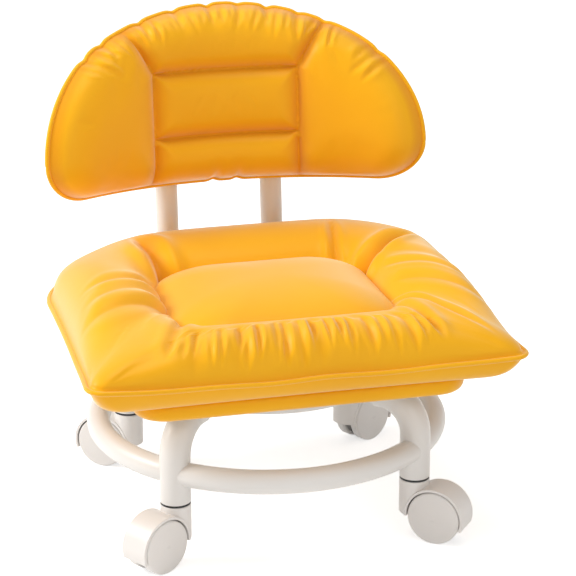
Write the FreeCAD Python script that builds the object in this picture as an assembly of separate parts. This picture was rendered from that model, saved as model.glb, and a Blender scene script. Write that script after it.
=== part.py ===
import FreeCAD, Part
import math
import os

os.makedirs("parts", exist_ok=True)

V = FreeCAD.Vector
ALONG_X = V(1, 0, 0)
ALONG_Y = V(0, 1, 0)
UP = V(0, 0, 1)

# The origin stands on the floor under the middle of the whole stool.
# The base is drawn about its own middle, which lies this far in front of it.
BASE_TO_ORIGIN_Y = 26.0

# Steel frame: four bent legs, a foot ring and a pressed dish under the seat
LEG_SPREAD = 112.0
LEG_OD = 28.0
LEG_WALL = 1.5
LEG_FOOT_Z = 59.4
LEG_BEND_R = 34.0
ARM_Z = 134.0
ARM_END_WALL = 2.0
RING_OD = 22.0
RING_WALL = 1.5
RING_Z = 86.5
DISH_R = 119.0
DISH_SHEET = 2.0
DISH_DEPTH = 18.5
DISH_EDGE_R = 10.0
DISH_FLANGE_W = 9.4
DISH_SCREW_OUT = 4.7

# Twin-wheel casters, one under each leg
WHEEL_R = 25.0
WHEEL_W = 10.0
WHEEL_DOME = 1.0
WHEEL_SHOULDER = 2.0
WHEEL_RIM = 3.5
WHEEL_DISC = 3.0
WHEEL_BOSS_R = 7.5
WHEEL_STEP = 0.5
WHEEL_SIDE_GAP = 0.5
AXLE_R = 3.0
AXLE_END_WALL = 2.5
RUNNING_FIT = 0.05
END_PLAY = 0.15
TRAIL = 24.0
FENDER_GAP = 1.2
FENDER_T = 2.3
HOOD_WEB_T = 8.0
HOOD_CUT_HUB_Z = 25.0
HOOD_CUT_TRAIL_Z = 16.0
FENDER_EDGE_R = 0.4
HUB_EDGE_R = 1.0
HUB_GAP = 0.3
AXLE_BOSS_R = 7.0
STEM_R = 5.0
STEM_SUNK = 11.0
STEM_RISE = 30.0
STEM_TIP_CHAMFER = 1.5
GRIP_DOWN = 8.0
GRIP_W = 2.4
GRIP_SUNK = 0.8
GRIP_PROUD = 0.5
GRIP_SPLIT = 2.0
SOCKET_FLANGE_T = 2.0
SOCKET_FLANGE_STEP = 0.3
SOCKET_RISE = 33.0
SOCKET_TIP_CHAMFER = 1.0

# Corner of the frame that each leg stands at, and the way its caster trails at rest
LEG_CORNER = {"front_left": (-1, -1), "front_right": (1, -1), "rear_left": (-1, 1), "rear_right": (1, 1)}
CASTER_ANGLE = {"front_left": 212.0, "front_right": 321.0, "rear_left": 143.0, "rear_right": 32.0}

# Upholstered seat base: a plywood board wrapped in leather, standing out past the dish on each side
BOARD_T = 14.0
WRAP_T = 3.0
BASE_SIDE_OUT = 33.0
BASE_FRONT_OUT = 34.5
BASE_BACK_OUT = 41.0
BASE_CORNER_R = 30.0
BASE_EDGE_R = 6.0
WRAP_LIP_W = 14.0

# Seat cushion: a gathered roll round a crowned middle panel, with piping on its edge
SEAT_HALF = 194.0
SEAT_FRONT = -172.0
SEAT_BACK = 163.5
SEAT_CORNER_FRONT = 12.0
SEAT_CORNER_BACK = 100.0
SEAT_SAG = 4.0
SEAM_Z = 190.0
CREST_Z = 238.0
VALLEY_Z = 216.0
PANEL_CROWN_Z = 230.0
PANEL_HALF = 103.0
PANEL_FRONT = -110.0
PANEL_BACK = 60.0
PANEL_CORNER = 42.0
PANEL_SEAM_W = 3.0
INNER_SAG_SHARE = 0.3
# Cross-section of the cushion: how far in from its edge to the panel's seam, and how far up, as shares
CUSHION_SIDE_SHARES = ((0.24, 0.0), (0.06, 0.4))
CUSHION_GAP = 0.3
ROLL_OUTSIDE_SHARES = ((0.0, 0.0), (0.05, 0.34), (0.14, 0.66), (0.28, 0.90), (0.45, 1.0))
ROLL_INSIDE_SHARES = ((1.0, 0.0), (0.92, 0.30), (0.80, 0.68), (0.66, 0.92), (0.50, 1.0), (0.40, 1.1))
# Crown of the middle panel: how far in from its seam and how far up, as shares of the crown's height
PANEL_CROWN_SHARES = ((0.0, 0.0), (0.4, 0.48), (1.5, 0.86), (3.2, 1.0))
PIPING_R = 2.0
PIPING_GAP = 0.3

# Back posts, bent from tube: rails that end behind the dish's flange, then up into the backrest
POST_OD = 22.0
POST_WALL = 1.5
POST_X = 53.5
POST_BEHIND_BASE = 23.5
POST_BEND_R = 30.0
POST_IN_BACK = 128.0
POST_ROOM = 0.3
RAIL_CLEAR = 1.3
RAIL_SCREW_IN = (9.5, 24.5)
PLUG_FLANGE_T = 1.5
PLUG_DEPTH = 3.5
BACK_LEAN_ANGLE = 5.0

# Backrest: bent plywood between a channelled front pad and a plain rear pad
BACK_HALF = 179.0
BACK_BOTTOM_Z = 272.0
BACK_CORNER_R = 36.5
BACK_RISE = 128.5
BACK_SIDE_R = 111.5
BACK_CURVE_Y = -93.0
BACK_BOARD_T = 12.0
BACK_BOARD_INSET = 12.0
FRONT_PAD_T = 28.0
FRONT_PAD_EDGE_R = 23.0
REAR_PAD_OVER_POST = 6.0
REAR_PAD_EDGE_R = 34.0
EDGE_SPOT_COUNT = 72
CHANNEL_R = 9.0
CHANNEL_X = 72.0
CHANNEL_LOW_UP = 44.0
CHANNEL_HIGH_UP = 108.0
CHANNEL_FLARE_X = 106.0
BACK_SCREW_UP = (28.0, 100.0)

# Fasteners shared by the dish, the rails and the posts
SCREW_R = 2.5
SCREW_HEAD_R = 4.5
SCREW_HEAD_H = 3.0
SCREW_HOLE_R = 2.8
SCREW_ACCESS_R = 5.4
SCREW_TIP_IN = 1.0
TEE_BARREL_R = 3.6
TEE_BARREL_L = 9.0
TEE_FLANGE_R = 7.0
TEE_FLANGE_T = 1.2

# Heights and radii that follow from the values above
LEG_RADIUS = LEG_SPREAD * math.sqrt(2.0)
LEG_TURN = {corner: math.degrees(math.atan2(back, right)) for corner, (right, back) in LEG_CORNER.items()}
FLANGE_R = DISH_R + DISH_FLANGE_W
BASE_HALF = DISH_R + BASE_SIDE_OUT
BASE_FRONT = -DISH_R - BASE_FRONT_OUT
BASE_BACK = DISH_R + BASE_BACK_OUT
SEAT_BASE_Z = ARM_Z + LEG_OD / 2 + DISH_SHEET
BOARD_TOP_Z = SEAT_BASE_Z + BOARD_T
WRAP_TOP_Z = BOARD_TOP_Z + WRAP_T
CUSHION_Z = WRAP_TOP_Z + CUSHION_GAP
HUB_R = LEG_OD / 2
HUB_TOP_Z = LEG_FOOT_Z - SOCKET_FLANGE_T - HUB_GAP
WELL_R = WHEEL_R + FENDER_GAP
FENDER_R = WELL_R + FENDER_T
WHEEL_IN = HOOD_WEB_T / 2 + WHEEL_SIDE_GAP
HOOD_HALF = WHEEL_IN + WHEEL_W
AXLE_HALF = HOOD_HALF - AXLE_END_WALL - END_PLAY
RAIL_Z = SEAT_BASE_Z - POST_OD / 2
RAIL_END_Y = math.sqrt(FLANGE_R ** 2 - (POST_X - POST_OD / 2) ** 2) + PLUG_FLANGE_T + RAIL_CLEAR
POST_FOOT_Y = BASE_BACK + POST_BEHIND_BASE
POST_TOP_Z = BACK_BOTTOM_Z + POST_IN_BACK
POST_RHO = math.hypot(POST_X, POST_FOOT_Y - BACK_CURVE_Y)
BOARD_BACK_RHO = POST_RHO - POST_OD / 2
BOARD_FRONT_RHO = BOARD_BACK_RHO - BACK_BOARD_T
FRONT_PAD_RHO = BOARD_FRONT_RHO - FRONT_PAD_T
REAR_PAD_RHO = POST_RHO + POST_OD / 2 + REAR_PAD_OVER_POST
PIPING_OUT = PIPING_R + PIPING_GAP


def save(name, *solids):
    shape = Part.makeCompound(list(solids)) if len(solids) > 1 else solids[0].copy()
    shape.translate(V(0, -BASE_TO_ORIGIN_Y, 0))
    shape.exportStep("parts/" + name + ".step")


def polar(radius, degrees, z=0.0):
    angle = math.radians(degrees)
    return V(radius * math.cos(angle), radius * math.sin(angle), z)


def rod(radius, start, end):
    way = end - start
    return Part.makeCylinder(radius, way.Length, start, way)


def swept(path, start, way, radius, bowed=False):
    ring = Part.Wire([Part.makeCircle(radius, start, way)])
    return Part.Wire(path).makePipeShell([ring], True, bowed)


# Fasteners

def screw(seat, way, length):
    head = rod(SCREW_HEAD_R, seat - way * SCREW_HEAD_H, seat)
    edge = [e for e in head.Edges if abs((e.CenterOfMass - seat).Length - SCREW_HEAD_H) < 0.01]
    head = head.makeFillet(SCREW_HEAD_H / 2, edge[:1])
    return head.fuse(rod(SCREW_R, seat, seat + way * length)).removeSplitter()


def tee_nut(face, way, length):
    flange = rod(TEE_FLANGE_R, face - way * TEE_FLANGE_T, face)
    barrel = rod(TEE_BARREL_R, face - way * length, face)
    return flange.fuse(barrel).cut(rod(SCREW_R, face - way * length, face)).removeSplitter()


def tee_nut_room(face, way, length, board):
    flange = rod(TEE_FLANGE_R, face - way * TEE_FLANGE_T, face + way)
    barrel = rod(TEE_BARREL_R, face - way * length, face + way)
    return flange.fuse(barrel).fuse(rod(SCREW_HOLE_R, face - way * (board + 1), face))


# Legs

def leg(turn):
    foot = V(LEG_RADIUS, 0, LEG_FOOT_Z)
    knee = V(LEG_RADIUS, 0, ARM_Z - LEG_BEND_R)
    middle = V(LEG_RADIUS - LEG_BEND_R, 0, ARM_Z - LEG_BEND_R) + polar_xz(LEG_BEND_R, 45)
    bend_end = V(LEG_RADIUS - LEG_BEND_R, 0, ARM_Z)
    solid = leg_sweep(foot, knee, middle, bend_end, DISH_R - LEG_OD, LEG_OD / 2)
    solid = solid.cut(Part.makeCylinder(DISH_R, 4 * LEG_OD, V(0, 0, ARM_Z - 2 * LEG_OD)))
    hollow = leg_sweep(foot, knee, middle, bend_end, DISH_R - LEG_OD, LEG_OD / 2 - LEG_WALL)
    stop = Part.makeCylinder(DISH_R + ARM_END_WALL, 4 * LEG_OD, V(0, 0, ARM_Z - 2 * LEG_OD))
    solid = solid.cut(hollow.cut(stop))
    solid.rotate(V(0, 0, 0), UP, turn)
    return solid


def polar_xz(radius, degrees):
    angle = math.radians(degrees)
    return V(radius * math.cos(angle), 0, radius * math.sin(angle))


def leg_sweep(foot, knee, middle, bend_end, reach, radius):
    tip = V(reach, 0, ARM_Z)
    path = [Part.makeLine(foot, knee), Part.Arc(knee, middle, bend_end).toShape()]
    path.append(Part.makeLine(bend_end, tip))
    return swept(path, foot, UP, radius)


for corner, turn in LEG_TURN.items():
    save("leg_" + corner, leg(turn))

# Foot ring: four arcs of tube, their ends saddled to the legs
ring = Part.makeTorus(LEG_RADIUS, RING_OD / 2, V(0, 0, RING_Z))
ring = ring.cut(Part.makeTorus(LEG_RADIUS, RING_OD / 2 - RING_WALL, V(0, 0, RING_Z)))
ring.rotate(V(0, 0, 0), UP, LEG_TURN["rear_right"])
for turn in LEG_TURN.values():
    ring = ring.cut(Part.makeCylinder(LEG_OD / 2, 2 * RING_OD, polar(LEG_RADIUS, turn, RING_Z - RING_OD)))
RING_SIDE = {"right": V(1, 0, 0), "rear": V(0, 1, 0), "left": V(-1, 0, 0), "front": V(0, -1, 0)}
for side, way in RING_SIDE.items():
    arc = max(ring.Solids, key=lambda s: s.CenterOfMass.dot(way))
    save("ring_arc_" + side, arc)

# Mounting dish: pressed pan with a flat flange that carries the seat board
dish_top = SEAT_BASE_Z
dish_low = dish_top - DISH_DEPTH
turn_in = math.sqrt(0.5)
inner_edge = DISH_EDGE_R - DISH_SHEET
corner_r = DISH_R - DISH_EDGE_R
corner_z = dish_low + DISH_EDGE_R
dish_spots = [
    V(0, 0, dish_low),
    V(corner_r, 0, dish_low),
    V(corner_r + DISH_EDGE_R * turn_in, 0, corner_z - DISH_EDGE_R * turn_in),
    V(DISH_R, 0, corner_z),
    V(DISH_R, 0, dish_top - DISH_SHEET),
    V(FLANGE_R, 0, dish_top - DISH_SHEET),
    V(FLANGE_R, 0, dish_top),
    V(DISH_R - DISH_SHEET, 0, dish_top),
    V(DISH_R - DISH_SHEET, 0, corner_z),
    V(corner_r + inner_edge * turn_in, 0, corner_z - inner_edge * turn_in),
    V(corner_r, 0, dish_low + DISH_SHEET),
    V(0, 0, dish_low + DISH_SHEET),
]
dish_edges = [Part.makeLine(dish_spots[0], dish_spots[1])]
dish_edges.append(Part.Arc(dish_spots[1], dish_spots[2], dish_spots[3]).toShape())
for start, end in zip(dish_spots[3:8], dish_spots[4:9]):
    dish_edges.append(Part.makeLine(start, end))
dish_edges.append(Part.Arc(dish_spots[8], dish_spots[9], dish_spots[10]).toShape())
dish_edges.append(Part.makeLine(dish_spots[10], dish_spots[11]))
dish_edges.append(Part.makeLine(dish_spots[11], dish_spots[0]))
dish = Part.Face(Part.Wire(dish_edges)).revolve(V(0, 0, 0), UP, 360)
dish_seats = [polar(DISH_R + DISH_SCREW_OUT, turn, dish_top - DISH_SHEET) for turn in (0, 90, 180, 270)]
for seat in dish_seats:
    dish = dish.cut(rod(SCREW_HOLE_R, seat - UP, seat + UP * 2 * DISH_SHEET))
save("mounting_dish", dish)
dish_screw_l = DISH_SHEET + BOARD_T - SCREW_TIP_IN
save("dish_screws", *[screw(seat, UP, dish_screw_l) for seat in dish_seats])
dish_nut_faces = [V(seat.x, seat.y, BOARD_TOP_Z) for seat in dish_seats]
save("dish_tee_nuts", *[tee_nut(face, UP, TEE_BARREL_L) for face in dish_nut_faces])


# Casters, drawn with the stem on the Z axis and the wheels trailing along +X

def caster_hood():
    axle = V(TRAIL, 0, WHEEL_R)
    drum = rod(FENDER_R, axle - ALONG_Y * HOOD_HALF, axle + ALONG_Y * HOOD_HALF)
    hub = rod(HUB_R, V(0, 0, HOOD_CUT_TRAIL_Z), V(0, 0, HUB_TOP_Z))
    drum = drum.makeFillet(FENDER_EDGE_R, [e for e in drum.Edges if abs(e.CenterOfMass.y) > 1])
    rim = [e for e in hub.Edges if abs(e.CenterOfMass.z - HUB_TOP_Z) < 0.01]
    hood = drum.fuse(hub.makeFillet(HUB_EDGE_R, rim))
    for side in (-1, 1):
        inner = axle + ALONG_Y * side * HOOD_WEB_T / 2
        hood = hood.cut(rod(WELL_R, inner, inner + ALONG_Y * side * 2 * HOOD_HALF))
    far = TRAIL + FENDER_R
    low = [
        V(-HUB_R, -2 * HOOD_HALF, HOOD_CUT_HUB_Z),
        V(far, -2 * HOOD_HALF, HOOD_CUT_TRAIL_Z),
        V(far, -2 * HOOD_HALF, -WHEEL_R),
        V(-HUB_R, -2 * HOOD_HALF, -WHEEL_R),
    ]
    below = Part.Face(Part.makePolygon(low + [low[0]])).extrude(ALONG_Y * 4 * HOOD_HALF)
    hood = hood.cut(below)
    half_web = ALONG_Y * HOOD_WEB_T / 2
    hood = hood.fuse(rod(AXLE_BOSS_R, axle - half_web, axle + half_web)).removeSplitter()
    hood = hood.cut(rod(AXLE_R, axle - half_web * 2, axle + half_web * 2))
    return hood.cut(rod(STEM_R, V(0, 0, HUB_TOP_Z - STEM_SUNK), V(0, 0, HUB_TOP_Z + 1)))


def caster_wheel(side):
    inner = WHEEL_IN
    outer = WHEEL_IN + WHEEL_W
    bore = AXLE_R + RUNNING_FIT
    bore_end = outer - AXLE_END_WALL
    face_r = WHEEL_R - WHEEL_SHOULDER
    round_in = WHEEL_SHOULDER * (1 - math.sqrt(0.5))
    rim_r = WHEEL_R - WHEEL_RIM
    disc_in = outer - WHEEL_DISC
    spots = [
        (0, bore_end), (0, outer + WHEEL_DOME), (face_r, outer), (WHEEL_R, outer - WHEEL_SHOULDER),
        (WHEEL_R, inner + WHEEL_SHOULDER), (face_r, inner + WHEEL_STEP), (rim_r, inner + WHEEL_STEP),
        (rim_r, disc_in), (WHEEL_BOSS_R, disc_in), (WHEEL_BOSS_R, inner), (bore, inner), (bore, bore_end),
    ]
    p = [V(r, 0, w) for r, w in spots]
    bow_r = (face_r ** 2 + WHEEL_DOME ** 2) / (2 * WHEEL_DOME)
    half_r = face_r / 2
    bow_w = outer + WHEEL_DOME - bow_r + math.sqrt(bow_r ** 2 - half_r ** 2)
    tread_r = WHEEL_R - round_in
    tread = [V(tread_r, 0, outer - round_in), V(tread_r, 0, inner + round_in + WHEEL_STEP)]
    edges = [Part.makeLine(p[0], p[1]), Part.Arc(p[1], V(half_r, 0, bow_w), p[2]).toShape()]
    edges.append(Part.Arc(p[2], tread[0], p[3]).toShape())
    edges.append(Part.makeLine(p[3], p[4]))
    edges.append(Part.Arc(p[4], tread[1], p[5]).toShape())
    for start, end in zip(p[5:], p[6:] + [p[0]]):
        edges.append(Part.makeLine(start, end))
    wheel = Part.Face(Part.Wire(edges)).revolve(V(0, 0, 0), UP, 360)
    wheel.rotate(V(0, 0, 0), ALONG_X, -90 * side)
    wheel.translate(V(TRAIL, 0, WHEEL_R))
    return wheel


def caster_axle():
    axle = V(TRAIL, 0, WHEEL_R)
    return rod(AXLE_R, axle - ALONG_Y * AXLE_HALF, axle + ALONG_Y * AXLE_HALF)


def stem_groove_z():
    return LEG_FOOT_Z + STEM_RISE - GRIP_DOWN


def caster_stem():
    top = LEG_FOOT_Z + STEM_RISE
    stem = rod(STEM_R, V(0, 0, HUB_TOP_Z - STEM_SUNK), V(0, 0, top))
    tip = [e for e in stem.Edges if abs(e.CenterOfMass.z - top) < 0.01]
    stem = stem.makeChamfer(STEM_TIP_CHAMFER, tip)
    low = V(0, 0, stem_groove_z())
    groove = rod(STEM_R + 1, low, low + UP * GRIP_W)
    return stem.cut(groove.cut(rod(STEM_R - GRIP_SUNK, low, low + UP * GRIP_W)))


def grip_ring():
    low = V(0, 0, stem_groove_z() + END_PLAY)
    high = low + UP * (GRIP_W - 2 * END_PLAY)
    ring = rod(STEM_R + GRIP_PROUD, low, high).cut(rod(STEM_R - GRIP_SUNK, low, high))
    return ring.cut(Part.makeBox(2 * STEM_R, GRIP_SPLIT, GRIP_W, low - ALONG_Y * GRIP_SPLIT / 2))


def stem_socket():
    foot = V(0, 0, LEG_FOOT_Z)
    plug = rod(LEG_OD / 2 - LEG_WALL, foot, foot + UP * SOCKET_RISE)
    tip = [e for e in plug.Edges if abs(e.CenterOfMass.z - LEG_FOOT_Z - SOCKET_RISE) < 0.01]
    plug = plug.makeChamfer(SOCKET_TIP_CHAMFER, tip)
    plug = plug.fuse(rod(LEG_OD / 2 - SOCKET_FLANGE_STEP, foot - UP * SOCKET_FLANGE_T, foot)).removeSplitter()
    plug = plug.cut(rod(STEM_R + RUNNING_FIT, foot - UP * 2 * SOCKET_FLANGE_T, foot + UP * 2 * SOCKET_RISE))
    low = V(0, 0, stem_groove_z() - END_PLAY)
    return plug.cut(rod(STEM_R + GRIP_PROUD + RUNNING_FIT, low, low + UP * (GRIP_W + 2 * END_PLAY)))


def under_leg(shape, corner):
    placed = shape.copy()
    placed.rotate(V(0, 0, 0), UP, CASTER_ANGLE[corner])
    placed.translate(polar(LEG_RADIUS, LEG_TURN[corner]))
    return placed


caster_pieces = {
    "hood": caster_hood(),
    "stem": caster_stem(),
    "grip_ring": grip_ring(),
    "axle": caster_axle(),
    "wheel_left": caster_wheel(1),
    "wheel_right": caster_wheel(-1),
}
for corner in LEG_CORNER:
    save("stem_socket_" + corner, under_leg(stem_socket(), corner))
    for piece, shape in caster_pieces.items():
        save("caster_" + corner + "_" + piece, under_leg(shape, corner))


# Outlines in plan

def rounded_slab(half, front, back, radius, low, high):
    slab = Part.makeBox(2 * half, back - front, high - low, V(-half, front, low))
    return slab.makeFillet(radius, [e for e in slab.Edges if e.BoundBox.ZLength > (high - low) / 2])


def corner_circle(side_a, side_b, radius):
    ca, ra = side_a
    cb, rb = side_b
    way = cb - ca
    apart = way.Length
    way.normalize()
    along = ((ra + radius) ** 2 - (rb + radius) ** 2 + apart ** 2) / (2 * apart)
    aside = math.sqrt((ra + radius) ** 2 - along ** 2)
    across = V(-way.y, way.x, 0)
    ends = [ca + way * along + across * aside, ca + way * along - across * aside]
    middle = min(ends, key=lambda c: math.hypot(c.x, c.y))
    touch_a = ca + (middle - ca) * (ra / (ra + radius))
    touch_b = cb + (middle - cb) * (rb / (rb + radius))
    out = (touch_a - middle) + (touch_b - middle)
    out.normalize()
    return touch_a, middle + out * radius, touch_b


def drawn_in_wire(half, front, back, r_front, r_back, sag, z):
    # Four sides drawn in between rounded corners, each arc tangent to the next
    depth = (back - front) / 2
    mid_y = (back + front) / 2
    flat_r = half ** 2 / (2 * sag)
    side_r = depth ** 2 / (2 * sag)
    sides = [
        (V(0, front + sag - flat_r, 0), flat_r), (V(half - sag + side_r, mid_y, 0), side_r),
        (V(0, back - sag + flat_r, 0), flat_r), (V(-half + sag - side_r, mid_y, 0), side_r),
    ]
    middles = [V(0, front + sag, 0), V(half - sag, mid_y, 0), V(0, back - sag, 0), V(-half + sag, mid_y, 0)]
    radii = [r_front, r_back, r_back, r_front]
    corners = [corner_circle(sides[i], sides[(i + 1) % 4], radii[i]) for i in range(4)]
    edges = []
    for i in range(4):
        start = corners[i - 1][2]
        end = corners[i][0]
        edges.append(Part.Arc(start, middles[i], end).toShape())
        edges.append(Part.Arc(*corners[i]).toShape())
    wire = Part.Wire(edges)
    wire.translate(V(0, 0, z))
    return wire


def roll_wire(share, z):
    # Share 0 is the piped edge of the cushion and share 1 the seam of its middle panel
    half = SEAT_HALF + share * (PANEL_HALF - SEAT_HALF)
    front = SEAT_FRONT + share * (PANEL_FRONT - SEAT_FRONT)
    back = SEAT_BACK + share * (PANEL_BACK - SEAT_BACK)
    r_front = SEAT_CORNER_FRONT + share * (PANEL_CORNER - SEAT_CORNER_FRONT)
    r_back = SEAT_CORNER_BACK + share * (PANEL_CORNER - SEAT_CORNER_BACK)
    sag = SEAT_SAG * (1 - (1 - INNER_SAG_SHARE) * share)
    return drawn_in_wire(half, front, back, r_front, r_back, sag, z)


def panel_wire(inset, z):
    front = PANEL_FRONT + inset
    back = PANEL_BACK - inset
    corner = max(PANEL_CORNER - inset / 2, PANEL_CORNER / 2)
    return drawn_in_wire(PANEL_HALF - inset, front, back, corner, corner, SEAT_SAG * INNER_SAG_SHARE, z)


def lofted(wires):
    return Part.makeLoft(wires, True, False)


# Seat board and the leather wrapped round it
seat_board = rounded_slab(
    BASE_HALF - WRAP_T, BASE_FRONT + WRAP_T, BASE_BACK - WRAP_T, BASE_CORNER_R - WRAP_T,
    SEAT_BASE_Z + WRAP_T, BOARD_TOP_Z)
lip = WRAP_T + WRAP_LIP_W
board_foot = rounded_slab(
    BASE_HALF - lip, BASE_FRONT + lip, BASE_BACK - lip, BASE_CORNER_R - lip,
    SEAT_BASE_Z, SEAT_BASE_Z + WRAP_T)
seat_board = seat_board.fuse(board_foot).removeSplitter()
wrap = rounded_slab(BASE_HALF, BASE_FRONT, BASE_BACK, BASE_CORNER_R, SEAT_BASE_Z, WRAP_TOP_Z)
wrap = wrap.makeFillet(BASE_EDGE_R, [e for e in wrap.Edges if abs(e.BoundBox.ZMax - SEAT_BASE_Z) < 0.01])
wrap = wrap.makeFillet(WRAP_T, [e for e in wrap.Edges if abs(e.BoundBox.ZMin - WRAP_TOP_Z) < 0.01])
wrap = wrap.cut(seat_board)

rail_tips = [V(x, RAIL_END_Y + y, RAIL_Z) for x in (-POST_X, POST_X) for y in RAIL_SCREW_IN]
rail_nut_faces = [V(tip.x, tip.y, BOARD_TOP_Z) for tip in rail_tips]
for face in dish_nut_faces + rail_nut_faces:
    room = tee_nut_room(face, UP, TEE_BARREL_L, BOARD_T)
    seat_board = seat_board.cut(room)
    wrap = wrap.cut(rod(SCREW_HOLE_R, V(face.x, face.y, SEAT_BASE_Z - 1), face))
save("seat_board", seat_board)
save("seat_base_wrap", wrap)
save("rail_tee_nuts", *[tee_nut(face, UP, TEE_BARREL_L) for face in rail_nut_faces])

# Seat cushion: drawn-in sides, a round roll, a sunk seam and the crowned middle panel
side_h = SEAM_Z - CUSHION_Z
roll_h = CREST_Z - SEAM_Z
valley_h = CREST_Z - VALLEY_Z
crown_h = PANEL_CROWN_Z - VALLEY_Z
outside = [roll_wire(share, CUSHION_Z + side_h * rise) for share, rise in CUSHION_SIDE_SHARES]
outside += [roll_wire(share, SEAM_Z + roll_h * rise) for share, rise in ROLL_OUTSIDE_SHARES]
inside = [roll_wire(share, VALLEY_Z + valley_h * rise) for share, rise in ROLL_INSIDE_SHARES]
crown = [panel_wire(PANEL_SEAM_W, VALLEY_Z - PANEL_SEAM_W)]
for share, rise in PANEL_CROWN_SHARES:
    crown.append(panel_wire(PANEL_SEAM_W + crown_h * share, VALLEY_Z + crown_h * rise))
cushion = lofted(outside).cut(lofted(inside)).fuse(lofted(crown))
edge_path = drawn_in_wire(
    SEAT_HALF + PIPING_OUT, SEAT_FRONT - PIPING_OUT, SEAT_BACK + PIPING_OUT,
    SEAT_CORNER_FRONT + PIPING_OUT, SEAT_CORNER_BACK + PIPING_OUT, SEAT_SAG, SEAM_Z)
first = edge_path.OrderedEdges[0]
edge_start = first.valueAt(first.FirstParameter)
edge_way = first.tangentAt(first.FirstParameter)
seat_piping = Part.makeSolid(swept(edge_path.OrderedEdges, edge_start, edge_way, PIPING_R))
save("seat_cushion", cushion)
save("seat_piping", seat_piping)


# Back posts

def leaned(shape):
    turned_back = shape.copy()
    turned_back.rotate(V(0, POST_FOOT_Y, RAIL_Z), ALONG_X, -BACK_LEAN_ANGLE)
    return turned_back


def post_sweep(x, radius):
    lean = math.radians(BACK_LEAN_ANGLE)
    foot = V(x, POST_FOOT_Y, RAIL_Z)
    up_post = V(0, math.sin(lean), math.cos(lean))
    reach = POST_BEND_R * math.tan((math.pi / 2 - lean) / 2)
    start = V(x, RAIL_END_Y, RAIL_Z)
    bend_in = foot - ALONG_Y * reach
    bend_out = foot + up_post * reach
    centre = bend_in + UP * POST_BEND_R
    way = foot - centre
    way.normalize()
    tip = foot + up_post * (POST_TOP_Z - RAIL_Z)
    path = [Part.makeLine(start, bend_in), Part.Arc(bend_in, centre + way * POST_BEND_R, bend_out).toShape()]
    path.append(Part.makeLine(bend_out, tip))
    return swept(path, start, ALONG_Y, radius)


def tube_screw_seat():
    # The head bears on the round inside of the tube, as far out as its edge lets it go
    return math.sqrt((POST_OD / 2 - POST_WALL) ** 2 - SCREW_HEAD_R ** 2)


def tube_holes(middle, way):
    return rod(SCREW_HOLE_R, middle, middle + way * POST_OD).fuse(
        rod(SCREW_ACCESS_R, middle - way * POST_OD, middle))


def post_side(x):
    # From the middle of the post towards the board that it is screwed to
    way = V(-x, BACK_CURVE_Y - POST_FOOT_Y, 0)
    way.normalize()
    return way


seat_in = tube_screw_seat()
rail_screw_l = POST_OD / 2 - seat_in + BOARD_T - SCREW_TIP_IN
save("rail_screws", *[screw(tip + UP * seat_in, UP, rail_screw_l) for tip in rail_tips])
plugs = []
back_screws = []
back_nuts = []
back_nut_rooms = []
back_screw_l = POST_OD / 2 - seat_in + BACK_BOARD_T - SCREW_TIP_IN
back_nut_l = min(TEE_BARREL_L, BACK_BOARD_T - 2 * TEE_FLANGE_T)
for side, x in (("left", -POST_X), ("right", POST_X)):
    post = post_sweep(x, POST_OD / 2).cut(post_sweep(x, POST_OD / 2 - POST_WALL))
    for tip in rail_tips:
        if tip.x == x:
            post = post.cut(tube_holes(tip, UP))
    way = post_side(x)
    for up in BACK_SCREW_UP:
        middle = V(x, POST_FOOT_Y, BACK_BOTTOM_Z + up)
        post = post.cut(leaned(tube_holes(middle, way)))
        back_screws.append(leaned(screw(middle + way * seat_in, way, back_screw_l)))
        face = middle + way * (POST_OD / 2 + BACK_BOARD_T)
        back_nuts.append(leaned(tee_nut(face, way, back_nut_l)))
        back_nut_rooms.append(tee_nut_room(face, way, back_nut_l, BACK_BOARD_T))
    save("back_post_" + side, post)
    end = V(x, RAIL_END_Y, RAIL_Z)
    plug = rod(POST_OD / 2, end - ALONG_Y * PLUG_FLANGE_T, end)
    stub = rod(POST_OD / 2 - POST_WALL, end, end + ALONG_Y * PLUG_DEPTH)
    plugs.append(plug.fuse(stub).removeSplitter())
save("rail_plugs", *plugs)
save("back_screws", *back_screws)
save("back_tee_nuts", *back_nuts)


# Backrest, drawn upright and then leaned back about the foot of the posts

def back_outline(inset, y):
    wide_z = BACK_BOTTOM_Z + BACK_CORNER_R
    low_x = BACK_HALF - BACK_CORNER_R
    side_x = BACK_HALF - BACK_SIDE_R
    top_r = (side_x ** 2 + BACK_RISE ** 2 - BACK_SIDE_R ** 2) / (2 * (BACK_RISE - BACK_SIDE_R))
    top_z = wide_z + BACK_RISE - top_r
    meet = math.degrees(math.atan2(wide_z - top_z, side_x))

    def at(x, z, radius, degrees):
        spot = polar_xz(radius - inset, degrees)
        return V(x + spot.x, y, z + spot.z)

    def arc(x, z, radius, first, last):
        spots = [at(x, z, radius, d) for d in (first, (first + last) / 2, last)]
        return Part.Arc(*spots).toShape()

    edges = [
        Part.makeLine(at(-low_x, wide_z, BACK_CORNER_R, -90), at(low_x, wide_z, BACK_CORNER_R, -90)),
        arc(low_x, wide_z, BACK_CORNER_R, -90, 0),
        arc(side_x, wide_z, BACK_SIDE_R, 0, meet),
        arc(0, top_z, top_r, meet, 180 - meet),
        arc(-side_x, wide_z, BACK_SIDE_R, 180 - meet, 180),
        arc(-low_x, wide_z, BACK_CORNER_R, 180, 270),
    ]
    return Part.Wire(edges)


def radial_wire(spots, y):
    # The edge of the backrest, carried straight out from the axis of its bow to an upright plane
    carried = []
    for s in spots:
        depth = math.sqrt(BOARD_FRONT_RHO ** 2 - s.x ** 2)
        carried.append(V(s.x * (y - BACK_CURVE_Y) / depth, y, s.z))
    line = Part.BSplineCurve()
    steps = [i / len(carried) for i in range(len(carried) + 1)]
    line.interpolate(Points=carried, PeriodicFlag=True, Parameters=steps)
    return Part.Wire([line.toShape()])


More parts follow.
